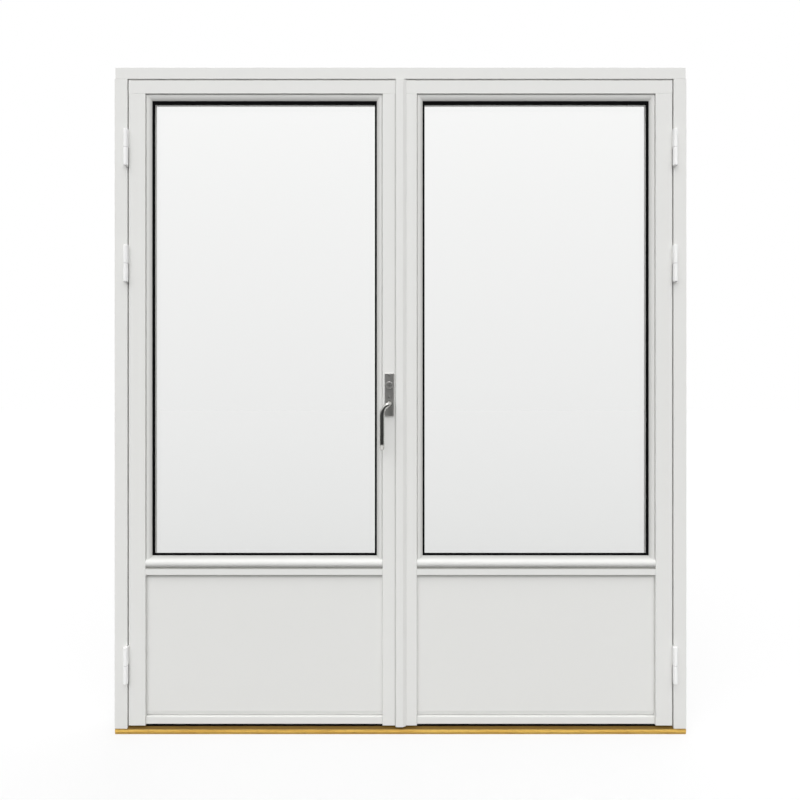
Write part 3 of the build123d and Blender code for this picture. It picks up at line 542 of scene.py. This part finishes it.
def oiled_oak():
    """Oak with an oil finish: golden, with darker bands and open pores, and painted shade
    under the leaves and towards its foot."""
    oak = Finish("Oiled oak", (0.70, 0.43, 0.11), 0.5, shine=0.3)
    run = oak.along("X")
    grain = oak.pattern(timber_grain, run, Band_width=60.0, Stretch=30.0)
    patches = oak.pattern(dust, oak.place, Patch_size=3.0)
    bands = oak.colours(
        grain["Bands"],
        (0.0, (0.70, 0.40, 0.078)),
        (0.45, (0.86, 0.545, 0.122)),
        (1.0, (0.90, 0.60, 0.145)),
    )
    streaked = oak.blend(
        oak.range(grain["Streaks"], 0.0, 0.45), bands, (0.69, 0.40, 0.080)
    )
    pores = oak.value("MULTIPLY", grain["Pores"], OAK_PORE_SHARE)
    pored = oak.blend(pores, streaked, OAK_PORE)
    # Painted shade: darker under the leaves and towards the foot
    up = oak.coordinate("Z")
    under_leaves = oak.value("GREATER_THAN", up, OAK_SHADE_FROM)
    foot = oak.value("LESS_THAN", up, OAK_FOOT_TO)
    shaded = oak.value(
        "MAXIMUM",
        oak.value("MULTIPLY", under_leaves, OAK_SHADE_SHARE),
        oak.value("MULTIPLY", foot, OAK_FOOT_SHARE),
    )
    oak.feed("Base Color", oak.blend(shaded, pored, SHADED_OAK))
    oak.feed("Roughness", oak.range(patches["Patches"], 0.40, 0.62))
    under = oak.bump(grain["Streaks"], depth=0.0002)
    sunk = oak.value("SUBTRACT", 1.0, grain["Pores"])
    oak.feed("Normal", oak.bump(sunk, depth=0.0002, under=under))
    return oak.material


GLASS_FOOT = 0.55
GLASS_TOP = 2.0
# Lower than real glass, because the photo shows next to no reflection
GLASS_IOR = 1.2
GLASS_SHADOW = (0.93, 0.935, 0.93)


def sealed_glass():
    """Clear float glass that lets the lamps through, with a painted reflection: lighter at
    the top and greyer towards its foot.
    """
    glass = Finish("Sealed unit glass", (0.95, 0.955, 0.95), 0.0)
    glass.set("IOR", GLASS_IOR)
    glass.set("Transmission Weight", 1.0)
    # Painted reflection: the glass's colour runs from grey at its foot to lighter at the top
    painted_reflection = glass.colours(
        glass.range(glass.coordinate("Z"), 0.0, 1.0, GLASS_FOOT, GLASS_TOP),
        (0.0, (0.876, 0.879, 0.875)),
        (0.37, (0.918, 0.920, 0.917)),
        (1.0, (0.967, 0.969, 0.966)),
    )
    glass.feed("Base Color", painted_reflection)
    clear = glass.tree.nodes.new("ShaderNodeBsdfTransparent")
    clear.inputs["Color"].default_value = (*GLASS_SHADOW, 1)
    path = glass.tree.nodes.new("ShaderNodeLightPath")
    mix = glass.tree.nodes.new("ShaderNodeMixShader")
    output = glass.tree.nodes["Material Output"]
    glass.tree.links.new(path.outputs["Is Shadow Ray"], mix.inputs["Fac"])
    glass.tree.links.new(glass.shader.outputs[0], mix.inputs[1])
    glass.tree.links.new(clear.outputs[0], mix.inputs[2])
    glass.tree.links.new(mix.outputs[0], output.inputs["Surface"])
    return glass.material


# Given as for the painted shade on the paint, without its strength
TAPE_PLACE = ("Y", 0.0430, 0.0015, 0.0002)
PALE_TAPE = (0.72, 0.72, 0.71)


def black_rubber():
    """Matt black sealing rubber with dust, and the pale tape on the indoor side of the
    glass."""
    rubber = Finish("Black sealing rubber", (0.004, 0.004, 0.0045), 0.85, shine=0.04)
    patches = rubber.pattern(dust, rubber.place, Patch_size=30.0)
    dusty = rubber.blend(
        rubber.range(patches["Patches"], 0.0, 0.25),
        (0.003, 0.003, 0.0035),
        (0.008, 0.008, 0.008),
    )
    indoors = rubber.band_mask(*TAPE_PLACE)
    rubber.feed("Base Color", rubber.blend(indoors, dusty, PALE_TAPE))
    rubber.feed("Roughness", rubber.range(patches["Patches"], 0.75, 0.92))
    rubber.feed("Normal", rubber.bump(patches["Patches"], depth=0.0001))
    return rubber.material


def white_enamel():
    """Glossy white stoved paint on the hinges."""
    enamel = Finish("White hinge enamel", (0.95, 0.95, 0.945), 0.32, shine=0.35)
    patches = enamel.pattern(dust, enamel.place, Patch_size=60.0)
    shade = enamel.blend(
        enamel.range(patches["Patches"], 0.0, 0.4), (0.96, 0.96, 0.955), (0.93, 0.93, 0.922)
    )
    enamel.feed("Base Color", shade)
    enamel.feed("Roughness", enamel.range(patches["Patches"], 0.28, 0.42))
    peel = noise(enamel.tree, enamel.place, scale=900.0, detail=2.0)
    enamel.feed("Normal", enamel.bump(peel, depth=0.00003))
    return enamel.material


# How far handling makes ground metal smoother or rougher in patches
HANDLED_SMOOTHER = 0.05
HANDLED_ROUGHER = 0.09


def brushed_metal(name, axis, light, dark, rough, lines=1800.0):
    """Ground metal with fine lines along one axis and soft handling marks."""
    metal = Finish(name, light, rough, metallic=1.0)
    marks = metal.pattern(brush_lines, metal.along(axis), Fineness=lines, Stretch=60.0)
    patches = metal.pattern(dust, metal.place, Patch_size=45.0)
    streaked = metal.blend(metal.range(marks["Lines"], 0.0, 0.6), light, dark)
    handled = metal.blend(metal.range(patches["Patches"], 0.0, 0.5), streaked, dark)
    metal.feed("Base Color", handled)
    low, high = rough - HANDLED_SMOOTHER, rough + HANDLED_ROUGHER
    metal.feed("Roughness", metal.range(patches["Patches"], low, high))
    metal.feed("Normal", metal.bump(marks["Lines"], depth=0.00003))
    return metal.material


def moulded_plastic(name, colour):
    """Plastic with a fine grain, as on the packers under the glass."""
    plastic = Finish(name, colour, 0.55)
    grain = noise(plastic.tree, plastic.place, scale=600.0, detail=2.0)
    plastic.feed("Roughness", plastic.range(grain, 0.48, 0.65))
    plastic.feed("Normal", plastic.bump(grain, depth=0.00005))
    return plastic.material


# These paints carry painted shade: beside the astragal, under the sill bead and next to the
# glazing seals
upright_paint = painted_timber("Painted timber, grain upright", "Z", [STRIP_JOINT])
level_paint = painted_timber("Painted timber, grain level", "X", [RAIL_JOINT])
side_bead_paint = painted_timber("Painted side beads", "Z", [SEAL_FACE])
level_bead_paint = painted_timber("Painted level beads", "X", [SEAL_FACE, RAIL_JOINT])
panel_paint = painted_panel()
oak = oiled_oak()
glass = sealed_glass()
rubber = black_rubber()
enamel = white_enamel()
satin_handle = brushed_metal(
    "Satin handle steel", "Z", (0.70, 0.695, 0.675), (0.58, 0.575, 0.555), 0.43
)
satin_lever = brushed_metal(
    "Satin lever steel", "Z", (0.66, 0.655, 0.63), (0.56, 0.555, 0.53), 0.20
)
zinc = brushed_metal(
    "Zinc plated steel", "Z", (0.52, 0.52, 0.50), (0.38, 0.38, 0.365), 0.34, 1200.0
)
spacer_metal = brushed_metal(
    "Dull spacer aluminium", "Z", (0.90, 0.905, 0.91), (0.80, 0.805, 0.81), 0.55
)
packer = moulded_plastic("Grey packer plastic", (0.18, 0.19, 0.20))
screw_zinc = brushed_metal(
    "Zinc plated screws", "X", (0.56, 0.56, 0.54), (0.42, 0.42, 0.40), 0.30, 2400.0
)
screw_steel = brushed_metal(
    "Handle screw steel", "X", (0.62, 0.617, 0.60), (0.50, 0.497, 0.48), 0.28, 2400.0
)
washer_plastic = moulded_plastic("Dark washer plastic", (0.05, 0.05, 0.052))

# Each finish with its nodes: those with a name of their own, then those of both leaves
FINISHES = [
    (
        upright_paint,
        "left_jamb right_jamb astragal inner_strip",
        "hinge_stile meeting_stile",
    ),
    (level_paint, "head", "top_rail mid_rail foot_rail"),
    (side_bead_paint, "", "side_beads"),
    (level_bead_paint, "", "top_bead sill_bead"),
    (panel_paint, "", "panel"),
    (oak, "threshold", ""),
    (glass, "", "panes"),
    (rubber, "frame_seal inner_strip_seal", "foot_seal glazing_seals"),
    (enamel, "jamb_hinge_halves", "hinge_halves"),
    (
        satin_handle,
        "outside_plate inside_plate plate_screws lock_cylinder cylinder_plug thumb_turn",
        "",
    ),
    (satin_lever, "outside_lever inside_lever", ""),
    (
        zinc,
        "fixing_sleeves keep_plates hinge_pins lock_faceplate lock_case lock_follower "
        "top_rod bottom_rod spindle flush_bolt_plates passive_top_bolt "
        "passive_bottom_bolt",
        "",
    ),
    (spacer_metal, "", "glass_spacer"),
    (packer, "", "setting_blocks"),
]


def dress():
    """Give every node of the frame its finish."""
    left_over = set(nodes)
    for material, single, per_leaf in FINISHES:
        names = single.split()
        for piece in per_leaf.split():
            names += [f"active_{piece}", f"passive_{piece}"]
        for name in names:
            slots = nodes[name].material_slots
            if not slots:
                nodes[name].data.materials.append(material)
            for slot in slots:
                slot.material = material
            left_over.discard(name)
    if left_over:
        raise RuntimeError(f"no finish for {sorted(left_over)}")


dress()


# Screws, washers and seals


def on_body(bm, name, material, body):
    """Turn a mesh's faces outwards and make it a piece that rides on this body."""
    bmesh.ops.recalc_face_normals(bm, faces=bm.faces)
    mesh = bpy.data.meshes.new(name)
    bm.to_mesh(mesh)
    bm.free()
    mesh.materials.append(material)
    piece = bpy.data.objects.new(name, mesh)
    bpy.context.scene.collection.objects.link(piece)
    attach(piece, body)
    return piece


def of_kind(made, kind):
    """The corners, edges or faces among what a bmesh operator made."""
    return [item for item in made if isinstance(item, kind)]


def drawn_on(bm, loop, drop, share):
    """Extrude a round loop downwards, and widen or narrow it by this share."""
    made = bmesh.ops.extrude_edge_only(bm, edges=loop)["geom"]
    corners = of_kind(made, bmesh.types.BMVert)
    bmesh.ops.translate(bm, verts=corners, vec=(0, 0, -drop))
    bmesh.ops.scale(bm, verts=corners, vec=(share, share, 1))
    return [edge for edge in of_kind(made, bmesh.types.BMEdge) if edge.is_boundary]


# The cross recess as parts of the head's radius, and how far its floor narrows
RECESS_REACH = 0.55
RECESS_ARM = 0.13
RECESS_DEPTH = 0.4
RECESS_FLOOR = 0.7


def cross_recess(bm, reach, arm, depth):
    """A cross-shaped socket, open at the top, which narrows downwards."""
    bmesh.ops.create_grid(bm, x_segments=3, y_segments=3, size=reach)
    for vert in bm.verts:
        for axis in (0, 1):
            if abs(vert.co[axis]) < reach / 2:
                vert.co[axis] = math.copysign(arm, vert.co[axis])
    corners = []
    for face in bm.faces:
        middle = face.calc_center_median()
        if min(abs(middle.x), abs(middle.y)) > arm:
            corners.append(face)
    bmesh.ops.delete(bm, geom=corners, context="FACES")
    mouth = bm.faces[:]
    made = bmesh.ops.extrude_face_region(bm, geom=mouth)["geom"]
    floor = of_kind(made, bmesh.types.BMVert)
    bmesh.ops.translate(bm, verts=floor, vec=(0, 0, -depth))
    bmesh.ops.scale(bm, verts=floor, vec=(RECESS_FLOOR, RECESS_FLOOR, 1))
    bmesh.ops.delete(bm, geom=mouth, context="FACES")
    return [edge for edge in bm.edges if edge.is_boundary]


RIM_SEGMENTS = 12
POINT_SHARE = 0.3


def cross_screw(head, dome, rim, sink, shank, length):
    """A screw that points down, with a cross recess. Its head's rim starts at z = 0 and
    its underside narrows to the shank over the depth of the sink."""
    bm = bmesh.new()
    socket = cross_recess(
        bm, head * RECESS_REACH, head * RECESS_ARM, head * RECESS_DEPTH
    )
    bmesh.ops.translate(bm, verts=bm.verts, vec=(0, 0, dome))
    circle = bmesh.ops.create_circle(bm, segments=RIM_SEGMENTS, radius=head)["verts"]
    half_step = Matrix.Rotation(math.pi / RIM_SEGMENTS, 3, "Z")
    bmesh.ops.rotate(bm, verts=circle, matrix=half_step)
    loop = [edge for edge in bm.edges if edge.is_wire]
    bmesh.ops.bridge_loops(bm, edges=socket + loop)
    loop = drawn_on(bm, loop, rim, 1.0)
    loop = drawn_on(bm, loop, sink, shank / head)
    loop = drawn_on(bm, loop, length, 1.0)
    loop = drawn_on(bm, loop, shank, POINT_SHARE)
    bmesh.ops.holes_fill(bm, edges=loop)
    mesh = bpy.data.meshes.new("Screw")
    bm.to_mesh(mesh)
    bm.free()
    return mesh


def set_screws(name, screw, places, material, body):
    """Copies of a screw at these places, each with the direction its head faces."""
    bm = bmesh.new()
    for place, facing in places:
        count = len(bm.verts)
        bm.from_mesh(screw)
        turn = Vector(facing).to_track_quat("Z", "Y").to_matrix().to_4x4()
        matrix = Matrix.Translation(place) @ turn
        bmesh.ops.transform(bm, matrix=matrix, verts=bm.verts[count:])
    return on_body(bm, name, material, body)


def spread(low, high, count):
    """Places at even steps from low to high."""
    return [low + (high - low) * step / (count - 1) for step in range(count)]


# Where the hinges stand, how far out the faces of their wings lie, and where the screws
# go: a step above and below the wing's middle, which is off the hinge's own height
HINGE_HEIGHTS = (0.218, 1.4662, 1.827)
LEAF_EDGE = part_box("passive_hinge_stile")[1][0]
LEAF_WING = LEAF_EDGE + 0.0015
JAMB_WING = LEAF_EDGE + 0.0028
WING_MIDDLE = 0.02895
WING_SCREW_STEP = 0.018
WING_SCREW_Y = 0.016
HINGE_AXIS_X = LEAF_EDGE + 0.005
HINGE_AXIS_Y = -0.009


def wing_screws(side, x, facing, above):
    """Where a hinge's wing is screwed down, at each of the three hinges."""
    places = []
    for height in HINGE_HEIGHTS:
        for step in (-WING_SCREW_STEP, WING_SCREW_STEP):
            z = height + above + step
            places.append(((side * x, WING_SCREW_Y, z), (facing, 0, 0)))
    return places


def hinge_screws():
    """Countersunk wood screws in the wings of all six hinges."""
    screw = cross_screw(
        head=0.0040, dome=0.0, rim=0.0002, sink=0.0022, shank=0.0019, length=0.020
    )
    sunk = 0.0001
    for side, leaf in ((-1, "active"), (1, "passive")):
        places = wing_screws(side, LEAF_WING - sunk, side, WING_MIDDLE)
        set_screws(
            f"{leaf}_hinge_screws", screw, places, screw_zinc, f"{leaf}_leaf"
        )
    places = []
    for side in (-1, 1):
        places += wing_screws(side, JAMB_WING + sunk, -side, -WING_MIDDLE)
    set_screws("jamb_hinge_screws", screw, places, screw_zinc, "frame")


FACEPLATE_SCREWS = 9
END_OF_LONG_PLATE = 0.010
END_OF_KEEP_PLATE = 0.006
FLUSH_PLATE_LENGTH = 0.170
KEEP_PLATE_THICKNESS = 0.0025


def lock_screws():
    """Raised countersunk screws in the plates of the lock, the flush bolts and the keeps.
    Their shanks are short, because the rods slide behind them."""
    screw = cross_screw(
        head=0.0034, dome=0.0009, rim=0.00005, sink=0.0015, shank=0.0015, length=0.0008
    )
    end = END_OF_LONG_PLATE
    low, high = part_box("lock_faceplate")
    middle_y = (low[1] + high[1]) / 2
    places = []
    for z in spread(low[2] + end, high[2] - end, FACEPLATE_SCREWS):
        places.append(((high[0], middle_y, z), (1, 0, 0)))
    set_screws(
        "faceplate_screws", screw, places, screw_zinc, "active_leaf"
    )
    low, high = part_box("flush_bolt_plates")
    places = []
    for base in (low[2], high[2] - FLUSH_PLATE_LENGTH):
        for z in spread(base + end, base + FLUSH_PLATE_LENGTH - end, 2):
            places.append(((low[0], middle_y, z), (-1, 0, 0)))
    set_screws(
        "flush_plate_screws", screw, places, screw_zinc, "passive_leaf"
    )
    low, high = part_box("keep_plates")
    places = []
    for x in spread(low[0] + END_OF_KEEP_PLATE, high[0] - END_OF_KEEP_PLATE, 2):
        places.append(((x, middle_y, low[2] + KEEP_PLATE_THICKNESS), (0, 0, 1)))
        places.append(((x, middle_y, high[2] - KEEP_PLATE_THICKNESS), (0, 0, -1)))
    set_screws("keep_plate_screws", screw, places, screw_zinc, "frame")


def handle_screws():
    """Through screws of the handle plates, with a sleeve nut indoors."""
    low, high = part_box("plate_screws")
    head = (high[0] - low[0]) / 2
    rim = 0.0007
    dome = 0.0005
    shank = 0.0024
    length = (high[1] - low[1]) / 2 - dome - rim - shank
    screw = cross_screw(head, dome, rim, sink=0.0, shank=shank, length=length)
    x = (low[0] + high[0]) / 2
    places = []
    for z in (low[2] + head, high[2] - head):
        places.append(((x, low[1] + dome, z), (0, -1, 0)))
        places.append(((x, high[1] - dome, z), (0, 1, 0)))
    piece = set_screws(
        "handle_screws", screw, places, screw_steel, "active_leaf"
    )
    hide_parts("plate_screws")


WASHER_SEGMENTS = 24


def hinge_washers():
    """A thin dark wear ring on the pin between the two knuckles of each hinge."""
    outer, inner, half_height = 0.0070, 0.00405, 0.00037
    bm = bmesh.new()
    for side in (-1, 1):
        for height in HINGE_HEIGHTS:
            count = len(bm.verts)
            for radius in (outer, inner):
                bmesh.ops.create_circle(bm, segments=WASHER_SEGMENTS, radius=radius)
            rings = [edge for edge in bm.edges if edge.is_wire]
            faces = bmesh.ops.bridge_loops(bm, edges=rings)["faces"]
            made = bmesh.ops.extrude_face_region(bm, geom=faces)["geom"]
            top = of_kind(made, bmesh.types.BMVert)
            bmesh.ops.translate(bm, verts=top, vec=(0, 0, 2 * half_height))
            bm.verts.ensure_lookup_table()
            place = (side * HINGE_AXIS_X, HINGE_AXIS_Y, height - half_height)
            bmesh.ops.translate(bm, verts=bm.verts[count:], vec=place)
    on_body(bm, "hinge_washers", washer_plastic, "frame")


BULB_SEGMENTS = 20
SQUARE = 4


def seal_ring(bm, segments, matrix, back=None):
    """A seal's outline as a ring of edges, flat against its stop at the back."""
    corners = bmesh.ops.create_circle(bm, segments=segments, radius=1.0)["verts"]
    if segments == SQUARE:
        # Its sides then lie level and upright, one unit from the middle
        squared_up = Matrix.Rotation(math.pi / 4, 3, "Z") * math.sqrt(2)
        bmesh.ops.transform(bm, matrix=squared_up.to_4x4(), verts=corners)
    bmesh.ops.transform(bm, matrix=matrix, verts=corners)
    if back is not None:
        for vert in corners:
            vert.co.y = min(vert.co.y, back)
    return list({edge for vert in corners for edge in vert.link_edges})


def mitre(x, y, z, half_width, half_depth, turn_x, turn_z):
    """Lays a seal's outline in the mitre of a corner that points to turn_x and turn_z."""
    return Matrix(
        (
            (turn_x * half_width, 0, 0, x),
            (0, half_depth, 0, y),
            (turn_z * half_width, 0, 0, z),
            (0, 0, 0, 1),
        )
    )


# The bulb and its root, and how far back the stops' face lies
SEAL_HALF_WIDTH = 0.00325
SEAL_HALF_DEPTH = 0.0022
STOP_FACE = 0.0640
ROOT_HALF_WIDTH = 0.00125
ROOT_HALF_DEPTH = 0.0025


def frame_bulb_seal():
    """The frame's seal: a soft bulb all round the stops, mitred at its corners, on a root
    that is pushed into the groove."""
    low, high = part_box("frame_seal")
    left, right = low[0] + SEAL_HALF_WIDTH, high[0] - SEAL_HALF_WIDTH
    foot, top = low[2] + SEAL_HALF_WIDTH, high[2] - SEAL_HALF_WIDTH
    bulb = (low[1] + SEAL_HALF_DEPTH, SEAL_HALF_WIDTH, SEAL_HALF_DEPTH)
    root = (high[1] - ROOT_HALF_DEPTH, ROOT_HALF_WIDTH, ROOT_HALF_DEPTH)
    bm = bmesh.new()
    for segments, back, (y, half_width, half_depth) in (
        (BULB_SEGMENTS, STOP_FACE, bulb),
        (SQUARE, None, root),
    ):
        rings = []
        for x, z in ((left, foot), (right, foot), (right, top), (left, top)):
            turn_x = math.copysign(1, x)
            turn_z = 1 if z == top else -1
            corner = mitre(x, y, z, half_width, half_depth, turn_x, turn_z)
            rings.append(seal_ring(bm, segments, corner, back))
        for here, there in zip(rings, rings[1:] + rings[:1]):
            bmesh.ops.bridge_loops(bm, edges=here + there)
    piece = on_body(bm, "frame_bulb_seal", rubber, "frame")
    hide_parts("frame_seal")


def strip_bulb_seal():
    """The same bulb, upright on the strip that the active leaf closes against."""
    low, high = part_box("inner_strip_seal")
    x = (low[0] + high[0]) / 2
    flat = Matrix.Translation((x, low[1] + SEAL_HALF_DEPTH, low[2]))
    flat = flat @ Matrix.Diagonal((SEAL_HALF_WIDTH, SEAL_HALF_DEPTH, 1, 1))
    bm = bmesh.new()
    foot = seal_ring(bm, BULB_SEGMENTS, flat, STOP_FACE)
    made = bmesh.ops.extrude_edge_only(bm, edges=foot)["geom"]
    corners = of_kind(made, bmesh.types.BMVert)
    bmesh.ops.translate(bm, verts=corners, vec=(0, 0, high[2] - low[2]))
    bmesh.ops.holes_fill(bm, edges=[edge for edge in bm.edges if edge.is_boundary])
    piece = on_body(bm, "strip_bulb_seal", rubber, "passive_leaf")
    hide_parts("inner_strip_seal")


frame_bulb_seal()
strip_bulb_seal()
hinge_screws()
lock_screws()
handle_screws()
hinge_washers()
